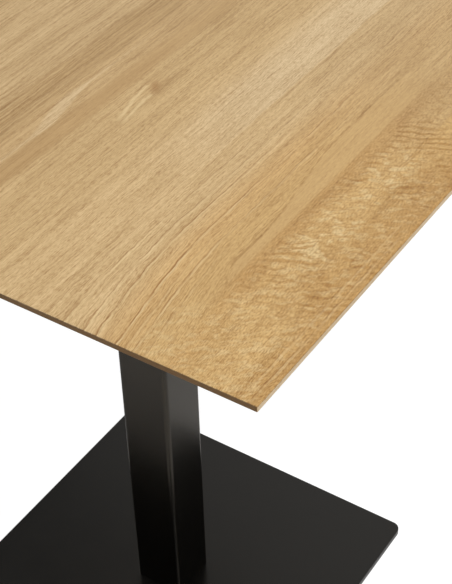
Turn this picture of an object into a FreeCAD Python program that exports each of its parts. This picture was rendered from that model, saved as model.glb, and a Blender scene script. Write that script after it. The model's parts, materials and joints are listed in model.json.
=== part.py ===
import FreeCAD, Part

import math
import os

import Sketcher

# A square bistro table: a thin-edged oak top on a square steel column, which stands on a flat square
# steel plate with four levelling feet.
#
# The origin is on the floor, under the middle of the column. +Z is up, -Y is the front and +X the right.
# The veneer's grain runs along Y. Lengths are in millimetres.

DRIVING_SIZES = [
    ("table_height", 750, "floor to the face of the top"),
    ("top_width", 690, "side of the square top"),
    ("top_thick", 18, "whole thickness of the top, veneers included"),
    ("edge_thick", 5, "height of the top's visible edge"),
    ("bevel_width", 36, "how far the underside's bevel runs in from the edge"),
    ("veneer_thick", 0.6, "face and backing veneer"),
    ("lipping_width", 12, "solid edge strip, across the grain"),
    ("edge_round", 1, "radius of the top's upright corners and under its visible edge"),
    ("upper_arris", 0.35, "radius round the top's face"),
    ("mount_width", 250, "side of the mounting plate under the top"),
    ("mount_thick", 5, "mounting plate"),
    ("mount_corner", 20, "radius of the mounting plate's corners"),
    ("steel_arris", 0.8, "radius along the edges of both steel plates"),
    ("column_width", 60, "side of the square tube"),
    ("column_wall", 2, "wall of the tube"),
    ("column_corner", 5, "outer radius of the tube's corners"),
    ("end_thick", 10, "plate welded inside each end of the tube"),
    ("weld_gap", 0.2, "all round an end plate, filled by its weld"),
    ("base_width", 400, "side of the base plate"),
    ("base_thick", 8, "base plate"),
    ("base_corner", 10, "radius of the base plate's corners"),
    ("insert_size", 10, "outside of a threaded insert"),
    ("insert_long", 10, "length of a threaded insert"),
    ("fixing_circle", 220, "circle of the screws that hold the top"),
    ("fixing_size", 6, "thread of those screws"),
    ("fixing_hole", 7, "their clearance holes"),
    ("fixing_long", 16, "their length under the head"),
    ("fixing_head", 10.5, "their button heads"),
    ("fixing_head_high", 3.3, "height of a button head"),
    ("fixing_head_round", 2.2, "its rounding"),
    ("fixing_key", 4, "its hexagon socket, across flats"),
    ("fixing_key_deep", 2, "depth of that socket"),
    ("washer_size", 12, "outside of a plain washer"),
    ("washer_hole", 6.4, "hole in a plain washer"),
    ("washer_thick", 1.6, "plain washer"),
    ("joint_spacing", 32, "between the countersunk screws at each end of the column"),
    ("joint_size", 8, "thread of those screws"),
    ("joint_hole", 9, "their clearance holes"),
    ("joint_long", 16, "their length, head included"),
    ("joint_head", 16, "their countersunk heads"),
    ("joint_mouth", 16.3, "mouth of a countersink"),
    ("joint_recess", 0.1, "how far a head lies below its face"),
    ("joint_key", 5, "its hexagon socket, across flats"),
    ("joint_key_deep", 2.7, "depth of that socket"),
    ("thread_play", 0.05, "all round a thread, which is drawn as a plain cylinder"),
    ("foot_offset", 165, "from the table's middle to a foot, along X and along Y"),
    ("foot_gap", 6, "floor to the underside of the base plate"),
    ("foot_stop_gap", 0.1, "over a foot that is screwed right in"),
    ("foot_thread", 8, "thread of a foot's stud"),
    ("foot_hole_deep", 6.5, "blind hole for a stud"),
    ("stud_reach", 5.6, "stud above its flange"),
    ("stud_tip", 0.6, "chamfer at the stud's tip"),
    ("flange_size", 13.9, "stud's flange"),
    ("flange_seat", 14, "recess for the flange"),
    ("flange_thick", 1.2, "stud's flange"),
    ("grip_size", 32, "ring that turns a foot"),
    ("notch_size", 3.2, "finger notch in the ring's rim"),
    ("notch_circle", 33.2, "circle of the notches' centres"),
    ("cap_size", 30, "soft cap on the floor"),
    ("cap_thick", 2.4, "soft cap"),
    ("cap_round", 0.8, "radius round the cap's underside"),
    ("cap_play", 0.05, "between the cap and the ring that turns on it"),
    ("boss_size", 10, "cap's middle boss, on which the ring turns"),
    ("boss_high", 1.6, "cap's middle boss"),
]

# Levels above the floor, and lengths that follow from them.
BASE_UNDERSIDE = "Sizes.foot_gap"
BASE_FACE = "(Sizes.foot_gap + Sizes.base_thick)"
TOP_UNDERSIDE = "(Sizes.table_height - Sizes.top_thick)"
CORE_FACE = "(Sizes.table_height - Sizes.veneer_thick)"
CORE_THICK = "(Sizes.top_thick - 2 * Sizes.veneer_thick)"
CORE_WIDTH = "(Sizes.top_width - 2 * Sizes.lipping_width)"
MOUNT_UNDERSIDE = "(Sizes.table_height - Sizes.top_thick - Sizes.mount_thick)"
BORE_WIDTH = "(Sizes.column_width - 2 * Sizes.column_wall)"
RING_UNDERSIDE = "(Sizes.cap_thick + Sizes.cap_play)"
FLANGE_TOP = "(Sizes.foot_gap - Sizes.foot_stop_gap)"

FIXING_COUNT = 8
NOTCH_COUNT = 12
CORNERS = {
    "front_left": (-1, -1),
    "front_right": (1, -1),
    "back_right": (1, 1),
    "back_left": (-1, 1),
}
SIDES = {"front": 0, "right": 90, "back": 180, "left": 270}
CLOSE = 1e-4


def build_sheet(doc):
    """The driving dimensions, one row each: what it is, and its size under an alias."""
    sheet = doc.addObject("Spreadsheet::Sheet", "Sizes")
    for row, (alias, size, meaning) in enumerate(DRIVING_SIZES, start=1):
        sheet.set(f"A{row}", meaning)
        sheet.set(f"B{row}", str(size))
        sheet.setAlias(f"B{row}", alias)
    doc.recompute()


# Places and outlines, as pairs of expressions on the sheet.


def square_corners(width):
    half = f"({width}) / 2"
    return [(f"-{half}", f"-{half}"), (half, f"-{half}"), (half, half), (f"-{half}", half)]


def ring_places(count, diameter, first_angle=0):
    """Evenly spaced places round a circle about the middle, or the corners of a regular polygon."""
    angles = [math.radians(first_angle + 360 * step / count) for step in range(count)]
    return [
        (f"{math.cos(angle):.9f} * {diameter} / 2", f"{math.sin(angle):.9f} * {diameter} / 2")
        for angle in angles
    ]


def hexagon_about(place, across_flats):
    x, y = place
    corners = ring_places(6, f"({across_flats} / cos(30 deg))")
    return [(f"{x} + {dx}", f"{y} + {dy}") for dx, dy in corners]


FIXING_PLACES = ring_places(FIXING_COUNT, "Sizes.fixing_circle")
JOINT_PLACES = square_corners("Sizes.joint_spacing")
MIDDLE = [("0", "0")]


# Sketches and features.


def new_body(doc, label, level, turned=0, place=("0", "0")):
    """A body whose own origin is at this level and place in the table's frame, turned about Z."""
    body = doc.addObject("PartDesign::Body", label)
    body.Label = label
    body.AllowCompound = True
    body.Placement.Rotation = FreeCAD.Rotation(FreeCAD.Vector(0, 0, 1), turned)
    for axis, distance in zip("xyz", (*place, level)):
        body.setExpression(f"Placement.Base.{axis}", distance)
    return body


def new_sketch(body, name, level="0", plane="XY_Plane"):
    sketch = body.newObject("Sketcher::SketchObject", name)
    origin_plane = next(item for item in body.Origin.OriginFeatures if item.Role == plane)
    sketch.AttachmentSupport = [(origin_plane, "")]
    sketch.MapMode = "FlatFace"
    sketch.setExpression("AttachmentOffset.Base.z", level)
    return sketch


def drive(sketch, kind, size, *ends):
    """Add a dimension of the sketch and bind it to the sheet."""
    index = sketch.addConstraint(Sketcher.Constraint(kind, *ends))
    sketch.setExpression(f"Constraints[{index}]", size)


def pin(sketch, line, end, start_point, place):
    """Hold one point of the sketch at a place measured from its origin."""
    x, y = place
    drive(sketch, "DistanceX", x, -1, 1, line, end, start_point.x)
    drive(sketch, "DistanceY", y, -1, 1, line, end, start_point.y)


def add_outline(sketch, corners):
    """A closed outline of straight lines through the corners."""
    count = len(corners)
    turns = [2 * math.pi * step / count for step in range(count)]
    loose = [FreeCAD.Vector(math.cos(turn), math.sin(turn), 0) for turn in turns]
    lines = [
        sketch.addGeometry(Part.LineSegment(loose[step], loose[(step + 1) % count]))
        for step in range(count)
    ]
    for step, line in enumerate(lines):
        following = lines[(step + 1) % count]
        sketch.addConstraint(Sketcher.Constraint("Coincident", line, 2, following, 1))
    for line, point, corner in zip(lines, loose, corners):
        pin(sketch, line, 1, point, corner)


def add_circle(sketch, place, diameter):
    centre = FreeCAD.Vector(0.5, 0.5, 0)
    circle = sketch.addGeometry(Part.Circle(centre, FreeCAD.Vector(0, 0, 1), 1))
    pin(sketch, circle, 3, centre, place)
    drive(sketch, "Diameter", diameter, circle, 2)


def square_sketch(body, name, width, level="0"):
    sketch = new_sketch(body, name, level)
    add_outline(sketch, square_corners(width))
    return sketch


def circle_sketch(body, name, places, diameter, level="0"):
    sketch = new_sketch(body, name, level)
    for place in places:
        add_circle(sketch, place, diameter)
    return sketch


def add_pad(body, sketch, length, taper=0):
    """Raise the sketch along +Z. A taper narrows it on the way up."""
    pad = body.newObject("PartDesign::Pad", "Pad")
    pad.Profile = sketch
    pad.setExpression("Length", length)
    pad.TaperAngle = -taper
    body.Document.recompute()
    return pad


def add_pocket(body, sketch, length, both_ways=False):
    """Cut the sketch out along +Z, or by the length in all, half of it each way."""
    before = body.Shape.Volume
    pocket = body.newObject("PartDesign::Pocket", "Pocket")
    pocket.Profile = sketch
    pocket.SideType = "Symmetric" if both_ways else "One side"
    pocket.Reversed = True
    pocket.setExpression("Length", length)
    body.Document.recompute()
    if body.Shape.Volume > before - CLOSE:
        raise RuntimeError(f"{sketch.Name} cuts nothing from {body.Label}")
    return pocket


def dress(body, kind, wanted, size_name, size):
    """Fillet or chamfer the edges of the body's last feature for which wanted(edge) is true."""
    base = body.Tip
    names = [f"Edge{n}" for n, edge in enumerate(base.Shape.Edges, start=1) if wanted(edge)]
    if not names:
        raise RuntimeError(f"{body.Label} has no edge for its {kind}")
    feature = body.newObject(f"PartDesign::{kind}", kind)
    feature.Base = (base, names)
    feature.setExpression(size_name, size)
    body.Document.recompute()
    return feature


def add_fillet(body, wanted, radius):
    return dress(body, "Fillet", wanted, "Radius", radius)


def add_chamfer(body, wanted, size):
    return dress(body, "Chamfer", wanted, "Size", size)


# Which edges a fillet or chamfer takes.


def is_upright(edge):
    ends = [vertex.Point for vertex in edge.Vertexes]
    return len(ends) == 2 and abs(ends[0].x - ends[1].x) + abs(ends[0].y - ends[1].y) < CLOSE


def is_flat_at(edge, level):
    box = edge.BoundBox
    return abs(box.ZMin - level) + abs(box.ZMax - level) < CLOSE


def is_round(edge, diameter):
    return isinstance(edge.Curve, Part.Circle) and abs(edge.Curve.Radius - diameter / 2) < CLOSE


def reaches(edge, half_width):
    """Whether the edge gets as far out as this, along X or Y."""
    box = edge.BoundBox
    return max(box.XMax, -box.XMin, box.YMax, -box.YMin) > half_width - CLOSE


# Steps that several pieces share.


def cut_underside_bevel(body, face_level):
    """Bevel the underside on all four sides, from the edge's foot to the flat of the underside.

    face_level is the top's face above the body's own origin. The cutter is a long three-cornered bar:
    its sloping side runs on past the board both ways.
    """
    fall = "(Sizes.top_thick - Sizes.edge_thick)"
    foot = f"{face_level} - Sizes.edge_thick"
    outer = "Sizes.top_width / 2 + Sizes.bevel_width"
    inner = "Sizes.top_width / 2 - 2 * Sizes.bevel_width"
    for plane in ("XZ_Plane", "YZ_Plane"):
        sketch = new_sketch(body, f"bevel_{plane}", plane=plane)
        for sign in ("", "-"):
            add_outline(
                sketch,
                [
                    (f"{sign}({outer})", f"{foot} + {fall}"),
                    (f"{sign}({inner})", f"{foot} - 2 * {fall}"),
                    (f"{sign}({outer})", f"{foot} - 2 * {fall}"),
                ],
            )
        add_pocket(body, sketch, "2 * Sizes.top_width", both_ways=True)


def soften_plate(body, thick, corner):
    """Round a plate's upright corners, then both of its outlines."""
    add_fillet(body, is_upright, corner)
    add_fillet(body, lambda edge: is_flat_at(edge, 0) or is_flat_at(edge, thick), "Sizes.steel_arris")


def cut_sockets(body, places, key, depth, level):
    sketch = new_sketch(body, "hex_sockets", level)
    for place in places:
        add_outline(sketch, hexagon_about(place, key))
    add_pocket(body, sketch, depth)


# The top.


def make_face_veneer(doc, sizes):
    body = new_body(doc, "face_veneer", CORE_FACE)
    add_pad(body, square_sketch(body, "outline", "Sizes.top_width"), "Sizes.veneer_thick")
    add_fillet(body, is_upright, "Sizes.edge_round")
    add_fillet(body, lambda edge: is_flat_at(edge, sizes.veneer_thick), "Sizes.upper_arris")


def make_core_board(doc, sizes):
    body = new_body(doc, "core_board", TOP_UNDERSIDE)
    board = square_sketch(body, "outline", CORE_WIDTH, "Sizes.veneer_thick")
    add_pad(body, board, CORE_THICK)
    cut_underside_bevel(body, "Sizes.top_thick")
    seats = circle_sketch(body, "insert_seats", FIXING_PLACES, "Sizes.insert_size")
    add_pocket(body, seats, "Sizes.insert_long")


def make_backing_veneer(doc, sizes):
    body = new_body(doc, "backing_veneer", TOP_UNDERSIDE)
    add_pad(body, square_sketch(body, "outline", CORE_WIDTH), "Sizes.veneer_thick")
    cut_underside_bevel(body, "Sizes.top_thick")
    seats = circle_sketch(body, "insert_seats", FIXING_PLACES, "Sizes.insert_size")
    add_pocket(body, seats, "Sizes.insert_long")


def make_edge_lipping(doc, sizes, side, turned):
    """One of four mitred strips: a frame all round the top, cut down to its front side."""
    body = new_body(doc, f"edge_lipping_{side}", TOP_UNDERSIDE, turned)
    add_pad(body, square_sketch(body, "frame", "Sizes.top_width"), "Sizes.top_thick - Sizes.veneer_thick")
    cut_underside_bevel(body, "Sizes.top_thick")
    edge_foot = sizes.top_thick - sizes.edge_thick
    add_fillet(
        body,
        lambda edge: reaches(edge, sizes.top_width / 2)
        and (is_upright(edge) or is_flat_at(edge, edge_foot)),
        "Sizes.edge_round",
    )
    add_pocket(body, square_sketch(body, "inside", CORE_WIDTH), "Sizes.top_thick")
    far = "Sizes.top_width"
    mitres = new_sketch(body, "mitres")
    add_outline(
        mitres,
        [("0", "0"), (far, f"-{far}"), (far, far), (f"-{far}", far), (f"-{far}", f"-{far}")],
    )
    add_pocket(body, mitres, "Sizes.top_thick")


def make_threaded_inserts(doc, sizes):
    body = new_body(doc, "threaded_inserts", TOP_UNDERSIDE)
    sketch = circle_sketch(body, "rims", FIXING_PLACES, "Sizes.insert_size")
    for place in FIXING_PLACES:
        add_circle(sketch, place, "(Sizes.fixing_size + 2 * Sizes.thread_play)")
    add_pad(body, sketch, "Sizes.insert_long")


# The mounting plate and what holds the top to it.


def make_mounting_plate(doc, sizes):
    body = new_body(doc, "mounting_plate", MOUNT_UNDERSIDE)
    add_pad(body, square_sketch(body, "outline", "Sizes.mount_width"), "Sizes.mount_thick")
    soften_plate(body, sizes.mount_thick, "Sizes.mount_corner")
    fixings = circle_sketch(body, "fixing_holes", FIXING_PLACES, "Sizes.fixing_hole")
    add_pocket(body, fixings, "Sizes.mount_thick")
    joints = circle_sketch(body, "joint_holes", JOINT_PLACES, "Sizes.joint_hole")
    add_pocket(body, joints, "Sizes.mount_thick")
    add_chamfer(
        body,
        lambda edge: is_round(edge, sizes.joint_hole) and is_flat_at(edge, sizes.mount_thick),
        "(Sizes.joint_mouth - Sizes.joint_hole) / 2",
    )


def make_fixing_washers(doc, sizes):
    body = new_body(doc, "fixing_washers", f"{MOUNT_UNDERSIDE} - Sizes.washer_thick")
    sketch = circle_sketch(body, "rims", FIXING_PLACES, "Sizes.washer_size")
    for place in FIXING_PLACES:
        add_circle(sketch, place, "Sizes.washer_hole")
    add_pad(body, sketch, "Sizes.washer_thick")


def make_fixing_screws(doc, sizes):
    """Button-head screws, heads down. Each body origin is where the heads meet their washers."""
    body = new_body(doc, "fixing_screws", f"{MOUNT_UNDERSIDE} - Sizes.washer_thick")
    heads = circle_sketch(body, "heads", FIXING_PLACES, "Sizes.fixing_head", "-Sizes.fixing_head_high")
    add_pad(body, heads, "Sizes.fixing_head_high")
    add_fillet(body, lambda edge: is_flat_at(edge, -sizes.fixing_head_high), "Sizes.fixing_head_round")
    add_pad(body, circle_sketch(body, "shanks", FIXING_PLACES, "Sizes.fixing_size"), "Sizes.fixing_long")
    cut_sockets(
        body, FIXING_PLACES, "Sizes.fixing_key", "Sizes.fixing_key_deep", "-Sizes.fixing_head_high"
    )


# The column and the joints at its ends.


def make_column_tube(doc, sizes):
    body = new_body(doc, "column_tube", BASE_FACE)
    outside = square_sketch(body, "outside", "Sizes.column_width")
    add_pad(body, outside, f"{MOUNT_UNDERSIDE} - {BASE_FACE}")
    add_fillet(body, is_upright, "Sizes.column_corner")
    add_pocket(body, square_sketch(body, "bore", BORE_WIDTH), "Sizes.table_height")
    half_bore = sizes.column_width / 2 - sizes.column_wall
    add_fillet(
        body,
        lambda edge: is_upright(edge) and abs(abs(edge.Vertexes[0].X) - half_bore) < CLOSE
        and abs(abs(edge.Vertexes[0].Y) - half_bore) < CLOSE,
        "Sizes.column_corner - Sizes.column_wall",
    )


def make_end_plate(doc, sizes, label, level):
    """A plate welded into an end of the tube, with tapped holes for the countersunk screws."""
    body = new_body(doc, label, level)
    outline = square_sketch(body, "outline", f"({BORE_WIDTH} - 2 * Sizes.weld_gap)")
    add_pad(body, outline, "Sizes.end_thick")
    add_fillet(body, is_upright, "Sizes.column_corner - Sizes.column_wall - Sizes.weld_gap")
    tapped = "(Sizes.joint_size + 2 * Sizes.thread_play)"
    add_pocket(body, circle_sketch(body, "tapped_holes", JOINT_PLACES, tapped), "Sizes.end_thick")


def make_joint_screws(doc, sizes, label, level, turned_over):
    """Four countersunk screws, drawn heads down from their heads' face, and turned over if asked."""
    body = new_body(doc, label, level)
    if turned_over:
        body.Placement.Rotation = FreeCAD.Rotation(FreeCAD.Vector(1, 0, 0), 180)
    add_pad(body, circle_sketch(body, "shanks", JOINT_PLACES, "Sizes.joint_size"), "Sizes.joint_long")
    heads = circle_sketch(body, "heads", JOINT_PLACES, "Sizes.joint_head")
    cone_high = "(Sizes.joint_head - Sizes.joint_size) / 2"
    add_pad(body, heads, cone_high, taper=45)
    cut_sockets(body, JOINT_PLACES, "Sizes.joint_key", "Sizes.joint_key_deep", "0")


# The base.


def make_base_plate(doc, sizes):
    body = new_body(doc, "base_plate", BASE_UNDERSIDE)
    add_pad(body, square_sketch(body, "outline", "Sizes.base_width"), "Sizes.base_thick")
    soften_plate(body, sizes.base_thick, "Sizes.base_corner")
    joints = circle_sketch(body, "joint_holes", JOINT_PLACES, "Sizes.joint_hole")
    add_pocket(body, joints, "Sizes.base_thick")
    add_chamfer(
        body,
        lambda edge: is_round(edge, sizes.joint_hole) and is_flat_at(edge, 0),
        "(Sizes.joint_mouth - Sizes.joint_hole) / 2",
    )
    tapped = "(Sizes.foot_thread + 2 * Sizes.thread_play)"
    feet = square_corners("2 * Sizes.foot_offset")
    add_pocket(body, circle_sketch(body, "foot_holes", feet, tapped), "Sizes.foot_hole_deep")


# One levelling foot. The stud and its grip ring turn together on the cap.


def foot_place(corner):
    along_x, along_y = CORNERS[corner]
    return f"{along_x} * Sizes.foot_offset", f"{along_y} * Sizes.foot_offset"


def make_foot_stud(doc, sizes, corner):
    level = f"{FLANGE_TOP} - Sizes.flange_thick"
    body = new_body(doc, f"foot_stud_{corner}", level, place=foot_place(corner))
    add_pad(body, circle_sketch(body, "flange", MIDDLE, "Sizes.flange_size"), "Sizes.flange_thick")
    shank = circle_sketch(body, "shank", MIDDLE, "Sizes.foot_thread", "Sizes.flange_thick")
    add_pad(body, shank, "Sizes.stud_reach")
    tip = sizes.flange_thick + sizes.stud_reach
    add_chamfer(body, lambda edge: is_flat_at(edge, tip), "Sizes.stud_tip")


def make_grip_ring(doc, sizes, corner):
    thick = f"{FLANGE_TOP} - {RING_UNDERSIDE}"
    body = new_body(doc, f"grip_ring_{corner}", RING_UNDERSIDE, place=foot_place(corner))
    add_pad(body, circle_sketch(body, "rim", MIDDLE, "Sizes.grip_size"), thick)
    notches = ring_places(NOTCH_COUNT, "Sizes.notch_circle")
    add_pocket(body, circle_sketch(body, "notches", notches, "Sizes.notch_size"), thick)
    boss_seat = circle_sketch(body, "boss_seat", MIDDLE, "(Sizes.boss_size + 2 * Sizes.cap_play)")
    add_pocket(body, boss_seat, "Sizes.boss_high")
    flange_seat = circle_sketch(
        body, "flange_seat", MIDDLE, "Sizes.flange_seat", f"{thick} - Sizes.flange_thick"
    )
    add_pocket(body, flange_seat, "Sizes.flange_thick")


def make_foot_cap(doc, sizes, corner):
    body = new_body(doc, f"foot_cap_{corner}", "0", place=foot_place(corner))
    add_pad(body, circle_sketch(body, "tread", MIDDLE, "Sizes.cap_size"), "Sizes.cap_thick")
    add_fillet(body, lambda edge: is_flat_at(edge, 0), "Sizes.cap_round")
    boss = circle_sketch(body, "boss", MIDDLE, "Sizes.boss_size", "Sizes.cap_thick")
    add_pad(body, boss, "Sizes.boss_high")


def check(doc):
    """Stop if any object failed, or any piece has no valid shape."""
    for item in doc.Objects:
        if "Invalid" in item.State or "Error" in item.State:
            raise RuntimeError(f"{item.Label} ({item.Name}) failed: {item.State}")
    for body in pieces_of(doc):
        if body.Shape.isNull() or not body.Shape.isValid() or not body.Shape.Solids:
            raise RuntimeError(f"{body.Label} has no valid solid")


def pieces_of(doc):
    return [item for item in doc.Objects if item.isDerivedFrom("PartDesign::Body")]


def main():
    doc = FreeCAD.newDocument("bistro_table")
    build_sheet(doc)
    sizes = doc.getObject("Sizes")

    make_face_veneer(doc, sizes)
    make_core_board(doc, sizes)
    make_backing_veneer(doc, sizes)
    for side, turned in SIDES.items():
        make_edge_lipping(doc, sizes, side, turned)
    make_threaded_inserts(doc, sizes)

    make_mounting_plate(doc, sizes)
    make_fixing_washers(doc, sizes)
    make_fixing_screws(doc, sizes)

    make_column_tube(doc, sizes)
    make_end_plate(doc, sizes, "head_plate", f"{MOUNT_UNDERSIDE} - Sizes.end_thick")
    make_end_plate(doc, sizes, "foot_plate", BASE_FACE)
    make_joint_screws(doc, sizes, "head_screws", f"{TOP_UNDERSIDE} - Sizes.joint_recess", turned_over=True)
    make_joint_screws(doc, sizes, "base_screws", f"{BASE_UNDERSIDE} + Sizes.joint_recess", turned_over=False)

    make_base_plate(doc, sizes)
    for corner in CORNERS:
        make_foot_stud(doc, sizes, corner)
        make_grip_ring(doc, sizes, corner)
        make_foot_cap(doc, sizes, corner)

    doc.recompute()
    check(doc)
    os.makedirs("parts", exist_ok=True)
    for body in pieces_of(doc):
        body.Shape.exportStep(os.path.join("parts", f"{body.Label}.step"))
        print(f"{body.Label}: {len(body.Shape.Solids)} solid(s), {body.Shape.Volume / 1000:.2f} cm3")


main()
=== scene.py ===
import json
from math import cos, pi, radians, sin

import bmesh
import bpy
from mathutils import Matrix, Vector


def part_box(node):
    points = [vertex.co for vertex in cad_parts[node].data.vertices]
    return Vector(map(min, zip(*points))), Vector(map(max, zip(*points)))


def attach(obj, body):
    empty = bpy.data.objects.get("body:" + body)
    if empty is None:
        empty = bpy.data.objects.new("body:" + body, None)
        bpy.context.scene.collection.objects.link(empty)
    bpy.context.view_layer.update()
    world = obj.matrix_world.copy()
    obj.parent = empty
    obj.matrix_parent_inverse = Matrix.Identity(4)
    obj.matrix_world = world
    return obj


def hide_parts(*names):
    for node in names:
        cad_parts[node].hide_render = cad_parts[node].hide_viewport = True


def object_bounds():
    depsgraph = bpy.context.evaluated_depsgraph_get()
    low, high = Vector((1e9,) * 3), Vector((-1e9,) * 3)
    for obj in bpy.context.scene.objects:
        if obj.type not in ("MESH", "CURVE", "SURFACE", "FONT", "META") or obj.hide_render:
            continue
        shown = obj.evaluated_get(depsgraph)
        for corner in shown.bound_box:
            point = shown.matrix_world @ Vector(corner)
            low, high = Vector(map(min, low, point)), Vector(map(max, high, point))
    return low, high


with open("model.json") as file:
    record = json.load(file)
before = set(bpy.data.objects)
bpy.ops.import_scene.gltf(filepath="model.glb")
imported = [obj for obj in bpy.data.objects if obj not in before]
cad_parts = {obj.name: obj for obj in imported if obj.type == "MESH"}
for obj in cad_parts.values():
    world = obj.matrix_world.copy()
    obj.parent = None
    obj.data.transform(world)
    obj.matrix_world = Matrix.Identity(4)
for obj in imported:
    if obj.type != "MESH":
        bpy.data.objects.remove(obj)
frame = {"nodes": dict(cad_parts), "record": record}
cad_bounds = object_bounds()
MM = 0.001

# ---- Camera and studio, in metres, degrees and watts ----------------------------------------------------
# The camera looks down at the near right corner of the top.
CAMERA_PLACE = Vector((0.6850, -0.87166, 1.37038))
CAMERA_AZIMUTH = 34.4
CAMERA_ELEVATION = 40.12
CAMERA_ROLL = -1.69
CAMERA_LENS = 89.0
CAMERA_SENSOR = 36.0

# The square area lights: name, place, length of a side, and power.
LIGHTS = (("key", (1.95, -0.3, 4.3), 1.1, 138), ("fill", (-2.0, -0.1, 3.6), 1.6, 35))
LIGHT_TARGET = Vector((0, 0, 0.6))

# The studio's light is dim all round and bright at the back, except to the right. Each edge is where the
# change starts and where it ends.
STUDIO_DIM = 0.096
STUDIO_BRIGHT = 0.576
BRIGHT_SIDE = (0.2, 0.98, 0.0)
BRIGHT_EDGE = (0.36, 0.47)
RIGHT_EDGE = (0.08, 0.30)

# The table gets the floor's colour alone. The camera sees it mixed with this share of the floor's glow.
FLOOR_HALF = 9.0
FLOOR_COLOUR = (0.80, 0.80, 0.80)
FLOOR_GLOW = 1.19
FLOOR_GLOW_SHARE = 0.80

# ---- The screw of a levelling foot, in millimetres ------------------------------------------------------
# The thread is right-handed, as the feet turn. Its crest and its two flanks are shares of the pitch.
FLANGE_THICK = 1.2
FLANGE_ROUND = 0.15
THREAD_SIZE = 8.0
THREAD_PITCH = 1.25
THREAD_DEPTH = 0.68
THREAD_CREST = 0.12
THREAD_FLANKS = 0.75
THREAD_RUN_OUT = 0.6
SCREW_TIP = 0.6
SCREW_ROW = 0.1
SCREW_SIDES = 48
SHARP_ANGLE = 50

# ---- Colours, as linear red, green, blue ----------------------------------------------------------------
WHITE = (1.0, 1.0, 1.0)
OAK_PINK = (0.640, 0.455, 0.238)
OAK_BROWN = (0.538, 0.360, 0.168)
OAK_TAN = (0.615, 0.424, 0.210)
OAK_WARM = (0.645, 0.453, 0.226)
OAK_SHADE = (0.592, 0.398, 0.188)
OAK_LIGHT = (0.692, 0.495, 0.259)
OAK_PALE = (0.750, 0.575, 0.350)
OAK_GOLD = (0.672, 0.440, 0.194)
OAK_HONEY = (0.656, 0.436, 0.187)
OAK_DEEP = (0.650, 0.418, 0.170)
OAK_AMBER = (0.680, 0.452, 0.192)
OAK_STRAW = (0.640, 0.424, 0.186)
FLAME = (0.780, 0.600, 0.325)

# Tints darken the wood that they are laid over.
FIBRE_DARK = (0.560, 0.460, 0.330)
FIBRE_MIDDLE = (0.830, 0.800, 0.740)
FIBRE_TINT = (0.80, 0.72, 0.60)
CLOUD_TINT = (0.83, 0.79, 0.72)
PORE_TINT = (0.52, 0.40, 0.28)
LINE_TINT = (0.56, 0.42, 0.26)
RIPPLE_TINT = (0.78, 0.68, 0.50)
KNOT_TINT = (0.62, 0.46, 0.30)

# Pale and dark oak of the lippings, lit and shaded copies of one oak: those that run along X are browner with
# painted shade, and those that run along Y paler with painted light.
EDGE_X_SHADED_COLOURS = ((0.39, 0.215, 0.080), (0.32, 0.170, 0.060))
EDGE_Y_LIT_COLOURS = ((0.92, 0.71, 0.450), (0.84, 0.63, 0.380))

# The plies of the core board, with the thickness of one in millimetres.
PLY_THICK = 1.4
PLY_DARK = (0.42, 0.28, 0.16)
PLY_PALE = (0.62, 0.47, 0.31)

# Powder coat: its colours, the tint of its sheen, and in millimetres how far from an edge it is paler, partly
# as rubbed wear and partly as a painted highlight.
COAT_DARK = (0.0014, 0.0013, 0.0011)
COAT_PALE = (0.0022, 0.0020, 0.0017)
COAT_WORN_AND_HIGHLIGHT = (0.020, 0.0195, 0.019)
COLUMN_SHEEN = (1.0, 0.87, 0.68)
PLATE_SHEEN = (1.0, 0.95, 0.87)
COLUMN_WORN_AND_HIGHLIGHT = 3.0
PLATE_WORN_AND_HIGHLIGHT = 0.8

BRASS = (0.72, 0.50, 0.20)
BARE_STEEL = (0.42, 0.41, 0.40)
ZINC = (0.62, 0.63, 0.64)
NYLON = (0.022, 0.022, 0.022)
RUBBER = (0.030, 0.029, 0.028)

# ---- The figure of the face veneer, in millimetres from the middle of the top ---------------------------
# The grain runs along Y. A pair of values is a soft border: 0 at the first and 1 at the second. Three or
# four values are a band: its two sides, and how softly it fades out beyond both, or beyond each.
TOP_HALF = round(cad_bounds[1][0] / MM)
# The bands' drift to less saturated oak at the left is partly a painted reflection of the lacquer's sheen.
VENEER_BANDS_AND_SHEEN = (
    (-TOP_HALF, OAK_TAN), (-300, OAK_PINK), (-250, OAK_BROWN), (-225, OAK_TAN), (-180, OAK_LIGHT),
    (-140, OAK_TAN), (-95, OAK_PINK), (-10, OAK_PINK), (-3, OAK_BROWN), (20, OAK_BROWN), (27, OAK_TAN),
    (42, OAK_TAN), (50, OAK_SHADE), (58, OAK_SHADE), (66, OAK_WARM), (112, OAK_WARM), (135, OAK_LIGHT),
    (200, OAK_LIGHT), (222, OAK_GOLD), (246, OAK_HONEY), (262, OAK_HONEY), (269, OAK_DEEP),
    (292, OAK_AMBER), (318, OAK_AMBER), (TOP_HALF, OAK_DEEP),
)
PALE_BAND = (150, 173, 32, 2)
PALE_BAND_Y = (-210, -10)
SMOOTH_BAND = (47, 60, 5)
SMOOTH_BAND_Y = (40, -90)
SHADED_BAND = (176, 300, 2)
SHADED_BAND_Y = (-110, 60)

# Growth lines: x, half width, strength, and the y where they fade out towards the back.
BACK = TOP_HALF
GROWTH_LINES = (
    (-292, 0.6, 0.5, BACK), (-263, 0.4, 0.7, BACK), (-240, 0.9, 0.6, BACK), (-206, 0.4, 0.6, BACK),
    (-171, 0.5, 0.4, BACK), (-133, 0.4, 0.6, BACK), (-118, 0.3, 0.4, BACK), (-4, 0.9, 0.75, BACK),
    (2, 0.3, 0.35, BACK), (11, 0.9, 0.45, BACK), (15, 0.3, 0.4, BACK), (19, 0.6, 0.40, BACK),
    (104, 0.2, 0.35, -60), (176.5, 0.7, 0.35, BACK), (187, 0.2, 0.75, 0), (198, 0.2, 0.75, 20),
    (206, 0.25, 0.9, -60), (221, 0.3, 1.0, 0), (229, 0.15, 0.5, -240), (235, 0.2, 0.85, -30),
    (244, 0.15, 0.5, -250), (333, 0.2, 0.5, -110), (339, 0.3, 0.6, -130),
)

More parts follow.
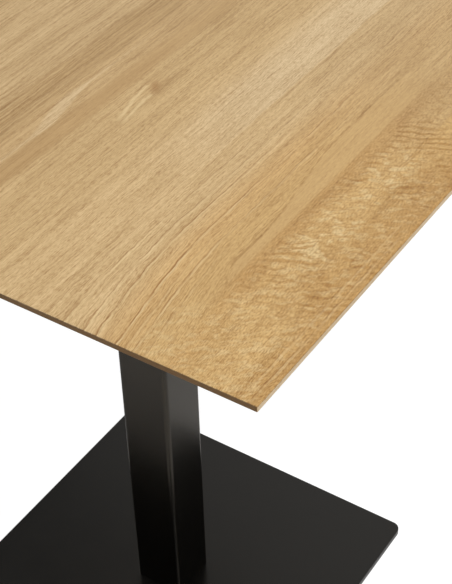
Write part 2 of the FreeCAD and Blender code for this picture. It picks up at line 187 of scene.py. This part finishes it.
# Each line's soft edges, half the length of its fade, and the pale sliver on its right.
LINE_SOFT = 0.45
LINE_FADE = 60
SLIVER_NEAR = 0.7
SLIVER_FAR = 1.5
SLIVER_SOFT = 0.7
STRONG_LINES_Y = (-60, -280)

# The growth wanders a little, and bends to the left near the front right corner, between two borders.
SLOW_WANDER = 8.0
QUICK_WANDER = 3.4
BEND_START = -228
BEND_LEFT = (165, 232)
BEND_RIGHT = (300, 268)
BEND_POWER = 1.3
BEND_REACH = 16.0

# The fibres are coarser to the left and more curled to the right.
LEFT_PART = (180, -20)
RIGHT_PART = (250, 285)

# The ripple's own borders, how its arcs lie, where they are strong, where it is golden, and its flames.
RIPPLE_SIDE = (264, 278)
RIPPLE_FRONT = (-275, -300)
RIPPLE_SLOPE = 0.5
RIPPLE_RATE = 0.78
RIPPLE_SWAY = 14.0
ARCS_BACK_Y = (-105, -25, 20)
ARCS_FRONT_Y = (-245, -195, 25)
GOLDEN_X = (298, 318)
GOLDEN_Y = (-235, -75, 30)
GOLDEN_CORNER_X = (322, 334)
GOLDEN_CORNER_Y = (-200, -240)
FLAMES_X = (286, 304, 15)
FLAMES_Y = (-205, -75, 40)
FEW_FLAMES_X = (252, 335, 10)
FEW_FLAMES_Y = (-60, -90)

# The left border of the smooth tongue, and the steps by which it moves to the right: from y, to y, how far.
TONGUE_LEFT = 242.0
TONGUE_STEPS = ((-60, -205, 15.0), (-232, -272, 12.0))
TONGUE_RIGHT = (268, 263.5)
TONGUE_Y = (80, -40)
SHADOW_X = (266, 271, 1.5, 14.0)
SHADOW_Y = (-290, -240)

# The knot's place, how far it leans for each millimetre up, and the soft borders of its core and cloud.
# Its streaks: x and y of the start from the knot, how far the streak drifts to the right, and its length.
KNOT_PLACE = (80, -80)
KNOT_LEAN = 0.55
KNOT_STIR = 5.0
KNOT_CORE = (1.7, 0.1)
KNOT_CLOUD = (4.5, 0.5)
KNOT_STREAKS = ((-6, -4, 11.0, 42), (4, -13, 5.0, 34))

# The pale spindle: its x at the back, how far its front is to the right, and its half width, which swells.
SPINDLE_PLACE = 30.0
SPINDLE_SHIFT = 11.0
SPINDLE_SHIFT_Y = (-115, -190)
SPINDLE_THIN = 0.8
SPINDLE_SWELL = 4.6
SPINDLE_SWELL_Y = (-155, -140, 45)
SPINDLE_Y = (40, -90)


# ---- Building with nodes --------------------------------------------------------------------------------
class Nodes:
    """The node tree of a material or world, with a short call for each kind of node that it needs."""

    def __init__(self, owner):
        owner.use_nodes = True
        self.tree = owner.node_tree
        self.tree.nodes.clear()

    def put(self, socket, value):
        """Links a node's output to a socket, or sets the socket to a plain value."""
        if isinstance(value, bpy.types.NodeSocket):
            self.tree.links.new(value, socket)
        elif hasattr(socket.default_value, "__len__") and len(value) < len(socket.default_value):
            socket.default_value = (*value, 1.0)
        else:
            socket.default_value = value

    def add(self, kind, inputs=(), **settings):
        """A node of this kind, with its settings and the values of its inputs in order."""
        node = self.tree.nodes.new(kind)
        for name, value in settings.items():
            setattr(node, name, value)
        for socket, value in zip(node.inputs, inputs):
            self.put(socket, value)
        return node

    def math(self, operation, *values):
        return self.add("ShaderNodeMath", values, operation=operation).outputs[0]

    def plus(self, *values):
        total = values[0]
        for value in values[1:]:
            total = self.math("ADD", total, value)
        return total

    def minus(self, first, second):
        return self.math("SUBTRACT", first, second)

    def times(self, *values):
        product = values[0]
        for value in values[1:]:
            product = self.math("MULTIPLY", product, value)
        return product

    def larger(self, first, second):
        return self.math("MAXIMUM", first, second)

    def smaller(self, first, second):
        return self.math("MINIMUM", first, second)

    def changed(self, value, low, high, first, last):
        """The first number up to low, the last one from high on, and a smooth change between."""
        numbers = (value, low, high, first, last)
        return self.add("ShaderNodeMapRange", numbers, interpolation_type="SMOOTHSTEP").outputs[0]

    def rise(self, value, low, high):
        """0 below low, 1 above high and a smooth change between. With low above high it falls instead."""
        if low < high:
            return self.changed(value, low, high, 0.0, 1.0)
        return self.changed(value, high, low, 1.0, 0.0)

    def band(self, value, low, high, soft_low, soft_high=None):
        """1 from low to high, fading out beyond them over the soft widths."""
        soft_high = soft_low if soft_high is None else soft_high
        return self.times(self.rise(value, low - soft_low, low), self.rise(value, high + soft_high, high))

    def scaled(self, vector, factors):
        return self.add("ShaderNodeVectorMath", (vector, factors), operation="MULTIPLY").outputs[0]

    def point(self, x, y):
        return self.add("ShaderNodeCombineXYZ", (x, y, 0.0)).outputs[0]

    def noise(self, vector, across, along=None, detail=2.0, rough=0.5, seed=0.0):
        """Smooth noise, in patches about this many millimetres across, and along where they are long."""
        along = across if along is None else along
        place = self.scaled(vector, (1 / across, 1 / along, 1 / across))
        shift = (seed, seed * 1.7, seed * 2.3)
        place = self.add("ShaderNodeVectorMath", (place, shift), operation="ADD").outputs[0]
        node = self.add("ShaderNodeTexNoise")
        for socket, value in (("Vector", place), ("Scale", 1.0), ("Detail", detail), ("Roughness", rough)):
            self.put(node.inputs[socket], value)
        return node.outputs["Fac"]

    def colours(self, value, low, high, stops):
        """A colour that changes with value, through stops of (value, colour) between low and high."""
        share = self.math("DIVIDE", self.minus(value, low), high - low)
        node = self.add("ShaderNodeValToRGB", (share,))
        ramp = node.color_ramp
        while len(ramp.elements) < len(stops):
            ramp.elements.new(1.0)
        for element, (position, colour) in zip(ramp.elements, stops):
            element.position = (position - low) / (high - low)
            element.color = (*colour, 1.0)
        return node.outputs["Color"]

    def mixed(self, amount, first, second, blend="MIX"):
        """Two colours mixed. The node has more sockets named A and B, and these numbers are the colours'."""
        node = self.add("ShaderNodeMix", (amount,), data_type="RGBA", blend_type=blend)
        self.put(node.inputs[6], first)
        self.put(node.inputs[7], second)
        return node.outputs[2]

    def stained(self, colour, amount, tint):
        return self.mixed(amount, colour, tint, "MULTIPLY")


class Finish(Nodes):
    """One surface material. Its place, x, y and z are the point's own, in millimetres."""

    def __init__(self, name, **settings):
        self.material = bpy.data.materials.new(name)
        super().__init__(self.material)
        self.shader = self.add("ShaderNodeBsdfPrincipled")
        self.add("ShaderNodeOutputMaterial", (self.shader.outputs[0],))
        self.set(**settings)
        place = self.add("ShaderNodeTexCoord").outputs["Object"]
        self.place = self.scaled(place, (1 / MM, 1 / MM, 1 / MM))
        self.x, self.y, self.z = self.add("ShaderNodeSeparateXYZ", (self.place,)).outputs

    def edge_distance(self, low, high):
        """How many millimetres off the nearest edge is, on a box with these lowest and highest corners."""
        gaps = []
        for axis, least, most in zip((self.x, self.y, self.z), low / MM, high / MM):
            off_middle = self.math("ABSOLUTE", self.minus(axis, (least + most) / 2))
            gaps.append(self.minus((most - least) / 2, off_middle))
        nearer = self.smaller(gaps[0], gaps[1])
        further = self.larger(gaps[0], gaps[1])
        return self.larger(nearer, self.smaller(further, gaps[2]))

    def bumped(self, height, depth):
        """Gives the surface this height, where a height of 1 stands for this depth in millimetres."""
        node = self.add("ShaderNodeBump")
        for socket, value in (("Strength", 1.0), ("Distance", depth * MM), ("Height", height)):
            self.put(node.inputs[socket], value)
        self.set(Normal=node.outputs[0])

    def set(self, **settings):
        """Sets or links the shader's sockets, and gives the material back."""
        for socket, value in settings.items():
            self.put(self.shader.inputs[socket.replace("_", " ")], value)
        return self.material


# ---- Oak ------------------------------------------------------------------------------------------------
def grain_place(oak):
    """How far across the figure a point is: x, less the wander of the growth and its bend near the corner."""
    slow = oak.noise(oak.place, 90, 320, detail=1.0, seed=3.1)
    quick = oak.noise(oak.place, 8, 20, detail=3.0, seed=8.4)
    wander = oak.times(oak.minus(slow, 0.5), SLOW_WANDER)
    wander = oak.plus(wander, oak.times(oak.minus(quick, 0.5), QUICK_WANDER))
    past_start = oak.times(oak.plus(oak.y, -BEND_START), -1 / (TOP_HALF + BEND_START))
    bend_share = oak.times(oak.rise(oak.x, *BEND_LEFT), oak.rise(oak.x, *BEND_RIGHT))
    bend = oak.times(oak.math("POWER", oak.larger(past_start, 0.0), BEND_POWER), bend_share, BEND_REACH)
    return oak.minus(oak.plus(oak.x, wander), bend)


def add_fibres(oak, colour, grain, plain):
    """Stripes, threads and speckle. plain is how much texture each place has, from 0 to 1."""
    stripes = oak.minus(oak.noise(grain, 2.6, 330, detail=2.0, rough=0.6, seed=5.5), 0.5)
    threads = oak.minus(oak.noise(grain, 1.05, 48, detail=2.0, rough=0.7, seed=2.2), 0.5)
    fleck = oak.minus(oak.noise(grain, 0.62, 5.0, detail=1.0, rough=0.6, seed=12.2), 0.5)
    curl = oak.minus(oak.noise(grain, 0.85, 2.4, detail=1.0, seed=16.1), 0.5)
    left = oak.rise(oak.x, *LEFT_PART)
    right = oak.rise(oak.x, *RIGHT_PART)
    tone = oak.plus(
        oak.times(stripes, oak.plus(0.45, oak.times(left, 0.8))),
        oak.times(threads, oak.minus(1.5, oak.times(right, 0.7))),
        oak.times(fleck, oak.plus(1.45, oak.times(left, -0.4))),
        oak.times(curl, oak.plus(0.5, oak.times(right, 1.35), oak.times(left, -0.3))),
    )
    tone = oak.plus(0.5, oak.times(tone, plain))
    shade = oak.colours(tone, 0.0, 1.0, ((0.0, FIBRE_DARK), (0.5, FIBRE_MIDDLE), (1.0, WHITE)))
    colour = oak.stained(colour, 1.0, shade)
    dashes = oak.rise(oak.noise(grain, 1.35, 30, detail=2.0, rough=0.5, seed=15.0), 0.58, 0.70)
    return oak.stained(colour, oak.times(dashes, plain, 0.36), LINE_TINT), tone


def add_growth_lines(oak, colour, across, grain):
    """Thin dark lines that wander and break up, each with a pale sliver beside it."""
    lines = 0.0
    slivers = 0.0
    for place, half_width, strength, back in GROWTH_LINES:
        right = place + half_width
        here = oak.times(strength, oak.rise(oak.y, back + LINE_FADE, back - LINE_FADE))
        line = oak.band(across, place - half_width, right, LINE_SOFT)
        sliver = oak.band(across, right + SLIVER_NEAR, right + SLIVER_FAR, SLIVER_SOFT)
        lines = oak.larger(lines, oak.times(line, here))
        slivers = oak.larger(slivers, oak.times(sliver, here))
    broken = oak.rise(oak.noise(grain, 8, 34, detail=2.0, seed=4.4), 0.38, 0.60)
    shown = oak.plus(0.3, oak.times(0.7, broken))
    near = oak.plus(0.55, oak.times(0.45, oak.rise(oak.y, *STRONG_LINES_Y)))
    lines = oak.times(lines, shown, near)
    colour = oak.stained(colour, oak.times(lines, 0.85), LINE_TINT)
    return oak.mixed(oak.times(slivers, shown, near, 0.45), colour, FLAME), lines


def add_ripple_arcs(oak, colour, bent_y, side):
    """Dark blotches and arcs that run across the grain of the right side, and a golden tone at its edge."""
    blotches = oak.rise(oak.noise(oak.point(oak.x, bent_y), 9, 4.0, detail=2.0, seed=9.2), 0.48, 0.62)
    colour = oak.stained(colour, oak.times(blotches, side, 0.4), RIPPLE_TINT)

    patches = oak.rise(oak.noise(oak.place, 14, 18, detail=2.0, seed=17.3), 0.38, 0.54)
    wave = oak.math("SINE", oak.times(bent_y, RIPPLE_RATE))
    arcs = oak.times(oak.rise(wave, -0.3, 0.9), patches)
    strong = oak.plus(oak.band(oak.y, *ARCS_BACK_Y), oak.times(0.8, oak.band(oak.y, *ARCS_FRONT_Y)))
    colour = oak.stained(colour, oak.times(arcs, side, strong, 0.9), RIPPLE_TINT)

    golden = oak.times(oak.rise(oak.x, *GOLDEN_X), oak.band(oak.y, *GOLDEN_Y))
    corner = oak.times(oak.rise(oak.x, *GOLDEN_CORNER_X), oak.rise(oak.y, *GOLDEN_CORNER_Y))
    return oak.stained(colour, oak.times(oak.larger(golden, corner), 0.45), RIPPLE_TINT)


def add_ripple(oak, colour):
    """Curl across the grain along the right side: dark arcs, and pale flames between them."""
    sway = oak.times(oak.noise(oak.place, 16, 26, detail=2.0, seed=6.1), RIPPLE_SWAY)
    bent_y = oak.plus(oak.minus(oak.y, oak.times(oak.x, RIPPLE_SLOPE)), sway)
    side = oak.rise(oak.x, *RIPPLE_SIDE)
    colour = add_ripple_arcs(oak, colour, bent_y, side)

    side_or_front = oak.larger(side, oak.rise(oak.y, *RIPPLE_FRONT))
    many = oak.times(oak.band(oak.x, *FLAMES_X), oak.band(oak.y, *FLAMES_Y))
    few = oak.times(oak.band(oak.x, *FEW_FLAMES_X), oak.rise(oak.y, *FEW_FLAMES_Y), 0.5)
    flames = oak.noise(oak.point(oak.x, bent_y), 8, 4.6, detail=3.0, rough=0.55, seed=10.6)
    flames = oak.times(oak.rise(flames, 0.50, 0.60), side_or_front, oak.larger(many, few))
    return oak.mixed(oak.times(flames, 0.72), colour, FLAME)


def add_tongue(oak, colour):
    """A smooth straw-coloured tongue between the growth lines and the ripple, and how much of it is here."""
    left = TONGUE_LEFT
    for start, end, step in TONGUE_STEPS:
        left = oak.plus(left, oak.times(oak.rise(oak.y, start, end), step))
    past_left = oak.minus(oak.x, left)
    short_of_right = oak.rise(oak.x, *TONGUE_RIGHT)
    fade = oak.rise(oak.y, *TONGUE_Y)
    inside = oak.times(oak.rise(past_left, -0.8, 1.6), short_of_right, fade)
    colour = oak.mixed(oak.times(inside, 0.7), colour, OAK_STRAW)

    border = oak.times(oak.band(past_left, -0.9, -0.3, 0.7), short_of_right, fade)
    broken = oak.rise(oak.noise(oak.place, 5, 9, detail=2.0, seed=13.3), 0.38, 0.58)
    colour = oak.stained(colour, oak.times(border, broken, 0.5), LINE_TINT)
    shadow = oak.times(oak.band(oak.x, *SHADOW_X), oak.rise(oak.y, *SHADOW_Y), fade)
    return oak.stained(colour, oak.times(shadow, 0.5), FIBRE_TINT), inside


def add_knot(oak, colour):
    """A small dark pin knot in a soft cloud, with two thin pale streaks running down from it."""
    x, y = KNOT_PLACE
    stir = oak.times(oak.minus(oak.noise(oak.place, 5, detail=3.0, seed=1.9), 0.5), KNOT_STIR)
    right = oak.plus(oak.x, -x, stir)
    up = oak.plus(oak.y, -y)
    lean = oak.plus(right, oak.times(up, KNOT_LEAN))
    size = oak.math("SQRT", oak.plus(oak.times(lean, lean, 0.06), oak.times(up, up, 0.022)))
    colour = oak.stained(colour, oak.times(oak.rise(size, *KNOT_CORE), 0.62), KNOT_TINT)
    colour = oak.stained(colour, oak.times(oak.rise(size, *KNOT_CLOUD), 0.3), FIBRE_TINT)
    for off_x, off_y, drift, length in KNOT_STREAKS:
        start = y + off_y
        drop = oak.rise(oak.y, start, start - length * 1.6)
        middle = oak.plus(x + off_x, oak.times(drop, drift))
        off_middle = oak.minus(oak.plus(oak.x, oak.times(stir, 0.5)), middle)
        width = oak.band(off_middle, -0.5, 0.5, 1.8)
        reach = oak.band(oak.y, start - length, start, 16, 4)
        colour = oak.mixed(oak.times(width, reach, 0.46), colour, FLAME)
    return colour


def add_spindle(oak, colour):
    """A pale spindle of sapwood with a crisp right side, drawn out into a thin line towards the back."""
    middle = oak.plus(SPINDLE_PLACE, oak.times(oak.rise(oak.y, *SPINDLE_SHIFT_Y), SPINDLE_SHIFT))
    half = oak.plus(SPINDLE_THIN, oak.times(oak.band(oak.y, *SPINDLE_SWELL_Y), SPINDLE_SWELL))
    off_middle = oak.minus(oak.x, middle)
    left_side = oak.rise(oak.plus(off_middle, half), -2.0, 1.5)
    right_side = oak.rise(oak.minus(off_middle, half), 0.8, -0.8)
    amount = oak.times(left_side, right_side, oak.rise(oak.y, *SPINDLE_Y))
    return oak.mixed(oak.times(amount, 0.5), colour, OAK_PALE)


def add_bands(oak, across, grain, smooth_band):
    """The broad bands of the growth, partly painted reflection where they are less saturated at the left,
    with a paler one, a smooth one, a darker back and soft clouds.
    """
    colour = oak.colours(across, -TOP_HALF, TOP_HALF, VENEER_BANDS_AND_SHEEN)
    pale_band = oak.times(oak.band(across, *PALE_BAND), oak.rise(oak.y, *PALE_BAND_Y))
    colour = oak.mixed(oak.times(pale_band, 0.8), colour, OAK_PALE)
    colour = oak.stained(colour, oak.times(smooth_band, oak.rise(oak.y, *SMOOTH_BAND_Y), 0.3), FIBRE_TINT)

    shaded_band = oak.times(oak.band(across, *SHADED_BAND), oak.rise(oak.y, *SHADED_BAND_Y))
    colour = oak.mixed(oak.times(shaded_band, 0.6), colour, OAK_PINK)
    colour = oak.stained(colour, oak.times(shaded_band, 0.2), CLOUD_TINT)

    cloud = oak.noise(grain, 9, 130, detail=3.0, seed=1.3)
    return oak.stained(colour, oak.times(oak.rise(cloud, 0.36, 0.70), 0.6), CLOUD_TINT)


def make_oak_face():
    """The face veneer: crown-cut oak, with its growth bands along Y, fibres, a knot and ripple figure."""
    oak = Finish("oak_face")
    across = grain_place(oak)
    grain = oak.point(across, oak.y)
    smooth_band = oak.band(across, *SMOOTH_BAND)
    colour = add_bands(oak, across, grain, smooth_band)
    colour = add_ripple(oak, colour)
    colour, tongue = add_tongue(oak, colour)
    colour = add_spindle(oak, colour)
    plain = oak.minus(1.0, oak.larger(oak.times(tongue, 0.45), oak.times(smooth_band, 0.42)))
    colour, tone = add_fibres(oak, colour, grain, plain)
    colour, lines = add_growth_lines(oak, colour, across, grain)
    colour = add_knot(oak, colour)
    pores = oak.rise(oak.noise(grain, 0.7, 9, detail=1.0, seed=7.7), 0.64, 0.76)
    colour = oak.stained(colour, oak.times(pores, plain, 0.4), PORE_TINT)

    oak.bumped(oak.minus(oak.times(tone, 0.4), oak.plus(oak.times(pores, 0.5), oak.times(lines, 0.5))), 0.05)
    return oak.set(Base_Color=colour, Roughness=oak.plus(0.38, oak.times(tone, 0.1)))


def make_oak_edge(lengthwise, pale, dark):
    """The lipping's solid oak, with its grain along the strip. lengthwise is the strip's axis, x or y."""
    oak = Finish(f"oak_edge_{lengthwise}", Specular_IOR_Level=0.25)
    along = oak.x if lengthwise == "x" else oak.y
    grain = oak.point(oak.z, along)
    bands = oak.noise(grain, 2.5, 160, detail=3.0, seed=2.9)
    colour = oak.colours(bands, 0.3, 0.7, ((0.3, pale), (0.7, dark)))
    fibres = oak.noise(grain, 0.5, 9, detail=3.0, rough=0.6, seed=6.6)
    colour = oak.stained(colour, oak.times(oak.rise(fibres, 0.4, 0.75), 0.6), FIBRE_TINT)
    pores = oak.rise(oak.noise(grain, 0.35, 6, detail=1.0, seed=3.3), 0.62, 0.72)
    colour = oak.stained(colour, oak.times(pores, 0.5), PORE_TINT)
    oak.bumped(oak.minus(oak.times(fibres, 0.3), pores), 0.04)
    return oak.set(Base_Color=colour, Roughness=oak.plus(0.45, oak.times(fibres, 0.12)))


def make_oak_backing():
    """The plainer veneer under the top."""
    oak = Finish("oak_backing")
    warp = oak.times(oak.minus(oak.noise(oak.place, 120, 500, detail=1.0, seed=14.0), 0.5), 60.0)
    grain = oak.point(oak.plus(oak.x, warp), oak.y)
    bands = oak.noise(grain, 18, 500, detail=3.0, seed=11.0)
    colour = oak.colours(bands, 0.3, 0.7, ((0.3, OAK_TAN), (0.5, OAK_PINK), (0.7, OAK_BROWN)))
    fibres = oak.noise(grain, 1.5, 10, detail=3.0, rough=0.65, seed=1.2)
    colour = oak.stained(colour, oak.times(oak.rise(fibres, 0.38, 0.72), 0.6), FIBRE_TINT)
    pores = oak.rise(oak.noise(grain, 0.7, 10, detail=1.0, seed=2.7), 0.62, 0.74)
    colour = oak.stained(colour, oak.times(pores, 0.6), PORE_TINT)
    oak.bumped(oak.minus(oak.times(fibres, 0.25), oak.times(pores, 0.6)), 0.05)
    return oak.set(Base_Color=colour, Roughness=oak.plus(0.5, oak.times(fibres, 0.15)))


def make_core_board():
    """Birch plies, seen only where a board edge is open."""
    board = Finish("core_board")
    plies = board.math("PINGPONG", board.plus(board.z, 0.3), PLY_THICK)
    colour = board.mixed(board.rise(plies, 0.5, 0.9), PLY_DARK, PLY_PALE)
    fibres = board.noise(board.place, 1.0, 8, detail=3.0, seed=0.7)
    colour = board.stained(colour, board.times(fibres, 0.4), FIBRE_TINT)
    board.bumped(fibres, 0.06)
    return board.set(Base_Color=colour, Roughness=board.plus(0.6, board.times(fibres, 0.2)))


# ---- Metals, paint and plastics -------------------------------------------------------------------------
def make_powder_coat(name, corners, sheen, worn_and_highlight_width):
    """Black powder coat with a fine orange-peel surface, paler along the edges of its box: rubbed wear and a
    painted highlight.
    """
    paint = Finish(f"black_steel_{name}", Specular_IOR_Level=0.64, Specular_Tint=sheen)
    peel = paint.noise(paint.place, 0.9, detail=1.0, seed=4.2)
    cloud = paint.noise(paint.place, 70, detail=3.0, seed=9.9)
    scuffs = paint.noise(paint.place, 4, detail=4.0, seed=3.7)
    colour = paint.mixed(cloud, COAT_DARK, COAT_PALE)
    # Painted highlight, with some rubbed wear: the paint turns paler near the box's edges.
    worn_and_highlight = paint.rise(paint.edge_distance(*corners), worn_and_highlight_width, worn_and_highlight_width * 0.45)
    worn_and_highlight = paint.times(worn_and_highlight, paint.plus(0.7, paint.times(scuffs, 0.6)))
    colour = paint.mixed(worn_and_highlight, colour, COAT_WORN_AND_HIGHLIGHT)
    paint.bumped(peel, 0.02)
    return paint.set(Base_Color=colour, Roughness=paint.plus(0.21, paint.times(cloud, 0.06)))


def make_metal(name, colour, roughness, seed):
    """A bare or plated metal: slight stains, fine scratches and small bumps."""
    metal = Finish(name, Metallic=1.0)
    cloud = metal.noise(metal.place, 9, detail=4.0, seed=seed)
    scratches = metal.noise(metal.place, 0.25, 6, detail=2.0, seed=seed + 3)
    dark = tuple(0.72 * part for part in colour)
    metal.bumped(scratches, 0.01)
    rough = metal.plus(roughness, metal.times(cloud, 0.16))
    return metal.set(Base_Color=metal.mixed(cloud, dark, colour), Roughness=rough)


def make_moulded(name, colour, roughness, texture):
    """A moulded plastic or rubber with a fine eroded texture and slightly dusty high spots."""
    plastic = Finish(name)
    grain = plastic.noise(plastic.place, texture, detail=2.0, seed=6.3)
    dust = plastic.noise(plastic.place, 6, detail=3.0, seed=2.4)
    paler = tuple(1.8 * part for part in colour)
    plastic.bumped(grain, 0.03)
    rough = plastic.plus(roughness, plastic.times(grain, 0.12))
    return plastic.set(Base_Color=plastic.mixed(plastic.times(dust, 0.6), colour, paler), Roughness=rough)


# ---- Finishes on the CAD nodes --------------------------------------------------------------------------
def make_finishes():
    """A finish for each material slot but black_steel, whose wear and painted edge highlight depend on the
    piece.
    """
    return {
        "oak_face": make_oak_face(),
        # The oak_edge slot, on the front and back lippings, gets the oak with painted shade.
        "oak_edge": make_oak_edge("x", *EDGE_X_SHADED_COLOURS),
        "core_board": make_core_board(),
        "oak_backing": make_oak_backing(),
        "brass": make_metal("brass", BRASS, roughness=0.28, seed=1.0),
        "bare_steel": make_metal("bare_steel", BARE_STEEL, roughness=0.42, seed=2.0),
        "zinc_steel": make_metal("zinc_steel", ZINC, roughness=0.30, seed=3.0),
        "black_nylon": make_moulded("black_nylon", NYLON, roughness=0.48, texture=0.8),
        "black_rubber": make_moulded("black_rubber", RUBBER, roughness=0.68, texture=0.6),
    }


def make_own_finishes():
    """The finishes of single nodes: coats whose rubbed wear and painted highlight follow a piece's own edges,
    and the side lippings with painted light.
    """
    # The column's ends are under plates, so a taller box keeps the wear and the painted highlight to its
    # upright corners.
    covered = Vector((0, 0, 0.05))
    low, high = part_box("column_tube")
    column_box = (low - covered, high + covered)
    own = {"column_tube": make_powder_coat("column", column_box, COLUMN_SHEEN, COLUMN_WORN_AND_HIGHLIGHT)}
    for plate in ("base_plate", "mounting_plate"):
        own[plate] = make_powder_coat(plate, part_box(plate), PLATE_SHEEN, PLATE_WORN_AND_HIGHLIGHT)
    # The side lippings get the same oak with painted light.
    own["edge_lipping_left"] = make_oak_edge("y", *EDGE_Y_LIT_COLOURS)
    own["edge_lipping_right"] = own["edge_lipping_left"]
    return own


def paint_nodes(nodes, record):
    """Gives every CAD node its own finish, or else the finish of its slot."""
    finishes = make_finishes()
    own = make_own_finishes()
    for part in record["subparts"]:
        name = part["node"]
        nodes[name].data.materials.clear()
        nodes[name].data.materials.append(own.get(name) or finishes[part["material_slot"]])


# ---- Foot screws ----------------------------------------------------------------------------------------
def screw_radius(height, turn, length):
    """The radius of the threaded shank, in mm, at a height above the flange and a share of a whole turn."""
    share = (height / THREAD_PITCH - turn) % 1.0
    from_crest = 1.0 - abs(2.0 * share - 1.0)
    groove = min(1.0, max(0.0, (from_crest - THREAD_CREST) / THREAD_FLANKS))
    groove *= min(1.0, height / THREAD_RUN_OUT)
    chamfer = max(0.0, SCREW_TIP - (length - height))
    return THREAD_SIZE / 2 - max(THREAD_DEPTH * groove, chamfer)


def screw_rows(flange, length):
    """Each row's height, in mm, and its radius: one number round the flange, and none along the thread."""
    rows = [(0.0, flange - FLANGE_ROUND), (FLANGE_ROUND, flange)]
    rows += [(FLANGE_THICK - FLANGE_ROUND, flange), (FLANGE_THICK, flange - FLANGE_ROUND)]
    steps = round(length / SCREW_ROW)
    return rows + [(FLANGE_THICK + length * step / steps, None) for step in range(steps + 1)]


def make_foot_screw(stud):
    """A foot's stud with its flange and a real helical thread, in place of the plain CAD stud."""
    low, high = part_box(stud)
    middle = (low + high) / 2
    flange = (high.x - low.x) / 2 / MM
    length = (high.z - low.z) / MM - FLANGE_THICK

    mesh = bmesh.new()
    rings = []
    for height, radius in screw_rows(flange, length):
        centre = Vector((middle.x, middle.y, low.z + height * MM))
        ring = []
        for side in range(SCREW_SIDES):
            turn = side / SCREW_SIDES
            reach = (radius or screw_radius(height - FLANGE_THICK, turn, length)) * MM
            across = Vector((reach * cos(2 * pi * turn), reach * sin(2 * pi * turn), 0))
            ring.append(mesh.verts.new(centre + across))
        rings.append(ring)
    for lower, upper in zip(rings, rings[1:]):
        for side in range(SCREW_SIDES):
            after = (side + 1) % SCREW_SIDES
            mesh.faces.new((lower[side], lower[after], upper[after], upper[side]))
    mesh.faces.new(reversed(rings[0]))
    mesh.faces.new(rings[-1])
    for face in mesh.faces:
        face.smooth = True

    data = bpy.data.meshes.new(stud.replace("stud", "screw"))
    mesh.to_mesh(data)
    mesh.free()
    data.set_sharp_from_angle(angle=radians(SHARP_ANGLE))
    screw = bpy.data.objects.new(data.name, data)
    bpy.context.scene.collection.objects.link(screw)
    return screw


def add_foot_screws(nodes, record):
    """Puts a threaded screw on the body of every foot stud, in that stud's own finish."""
    for body, members in record["behaviour"]["bodies"].items():
        for stud in (node for node in members if node.startswith("foot_stud")):
            screw = make_foot_screw(stud)
            screw.data.materials.append(nodes[stud].data.materials[0])
            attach(screw, body)
            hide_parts(stud)


# ---- Stage ----------------------------------------------------------------------------------------------
def make_floor():
    """A pale floor. The camera sees it a little brighter than the light that it gives back to the table."""
    mesh = bpy.data.meshes.new("floor")
    signs = ((-1, -1), (1, -1), (1, 1), (-1, 1))
    mesh.from_pydata([(FLOOR_HALF * x, FLOOR_HALF * y, 0) for x, y in signs], [], [(0, 1, 2, 3)])
    floor = bpy.data.objects.new("floor", mesh)
    bpy.context.scene.collection.objects.link(floor)

    material = bpy.data.materials.new("floor")
    nodes = Nodes(material)
    paint = nodes.add("ShaderNodeBsdfDiffuse", (FLOOR_COLOUR,)).outputs[0]
    glow = nodes.add("ShaderNodeEmission", (WHITE, FLOOR_GLOW)).outputs[0]
    seen = nodes.add("ShaderNodeLightPath").outputs["Is Camera Ray"]
    surface = nodes.add("ShaderNodeMixShader", (nodes.times(seen, FLOOR_GLOW_SHARE), paint, glow)).outputs[0]
    nodes.add("ShaderNodeOutputMaterial", (surface,))
    mesh.materials.append(material)


def make_world():
    """A studio that is white to the camera, and dimmer to the table, with most of its light at the back."""
    world = bpy.data.worlds.new("studio")
    bpy.context.scene.world = world
    nodes = Nodes(world)
    direction = nodes.add("ShaderNodeTexCoord").outputs["Generated"]
    along_x = nodes.add("ShaderNodeSeparateXYZ", (direction,)).outputs["X"]
    bright = nodes.changed(along_x, *RIGHT_EDGE, STUDIO_BRIGHT, STUDIO_DIM)
    side = nodes.add("ShaderNodeVectorMath", (direction, BRIGHT_SIDE), operation="DOT_PRODUCT")
    level = nodes.changed(side.outputs["Value"], *BRIGHT_EDGE, STUDIO_DIM, bright)
    seen = nodes.add("ShaderNodeLightPath").outputs["Is Camera Ray"]
    background = nodes.add("ShaderNodeBackground", (WHITE, nodes.larger(level, seen))).outputs[0]
    nodes.add("ShaderNodeOutputWorld", (background,))


def add_light(name, place, side, power):
    """A square area light that faces the table."""
    data = bpy.data.lights.new(name, "AREA")
    data.size = side
    data.energy = power
    light = bpy.data.objects.new(name, data)
    light.location = place
    light.rotation_euler = (Vector(place) - LIGHT_TARGET).to_track_quat("Z", "Y").to_euler()
    bpy.context.scene.collection.objects.link(light)


def add_camera():
    """A camera in the photographer's place, with the same slight roll."""
    turn, tilt, roll = (radians(angle) for angle in (CAMERA_AZIMUTH, CAMERA_ELEVATION, CAMERA_ROLL))
    back = Vector((sin(turn) * cos(tilt), -cos(turn) * cos(tilt), sin(tilt)))
    level = Vector((0, 0, 1)).cross(back).normalized()
    right = level * cos(roll) + back.cross(level) * sin(roll)
    up = back.cross(right)
    data = bpy.data.cameras.new("camera")
    data.lens = CAMERA_LENS
    data.sensor_width = CAMERA_SENSOR
    camera = bpy.data.objects.new("camera", data)
    camera.matrix_world = Matrix.Translation(CAMERA_PLACE) @ Matrix((right, up, back)).transposed().to_4x4()
    bpy.context.scene.collection.objects.link(camera)
    bpy.context.scene.camera = camera


paint_nodes(frame["nodes"], frame["record"])
add_foot_screws(frame["nodes"], frame["record"])
make_floor()
make_world()
for light in LIGHTS:
    add_light(*light)
add_camera()
bpy.context.scene.view_settings.view_transform = "Standard"
